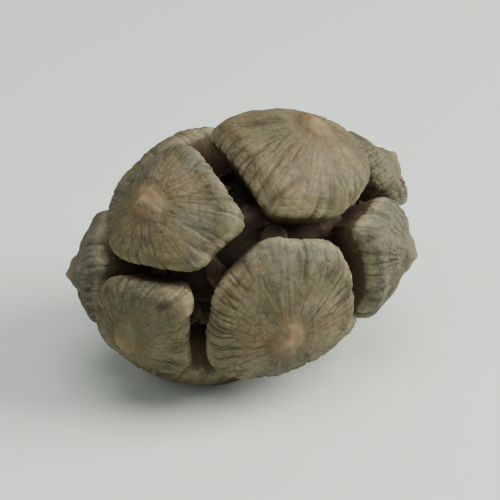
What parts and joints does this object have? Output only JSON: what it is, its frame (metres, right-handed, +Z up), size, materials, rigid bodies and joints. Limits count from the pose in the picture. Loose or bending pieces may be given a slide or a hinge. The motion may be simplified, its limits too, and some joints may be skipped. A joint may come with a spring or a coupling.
{
  "type": "cypress cone",
  "caption": "Dried, partly open cypress cone lying on its side: shield-shaped woody scales in crossed pairs with dark gaps between them, and a short cut stalk.",
  "frame": {"origin": "middle of the bounding box in X and Y, on the surface that the cone lies on", "axes": "+X along the cone from its tip to its stalk end, +Z up"},
  "size_m": [0.0296, 0.0228, 0.0215],
  "materials": {
    "scale_wood": "dry, weathered olive-brown wood with paler edges and dark gaps",
    "stalk_wood": "dry grey-brown bark with a paler cut end"
  },
  "bodies": {
    "root": {"cone": "scale_wood", "stalk": "stalk_wood"}
  },
  "joints": []
}
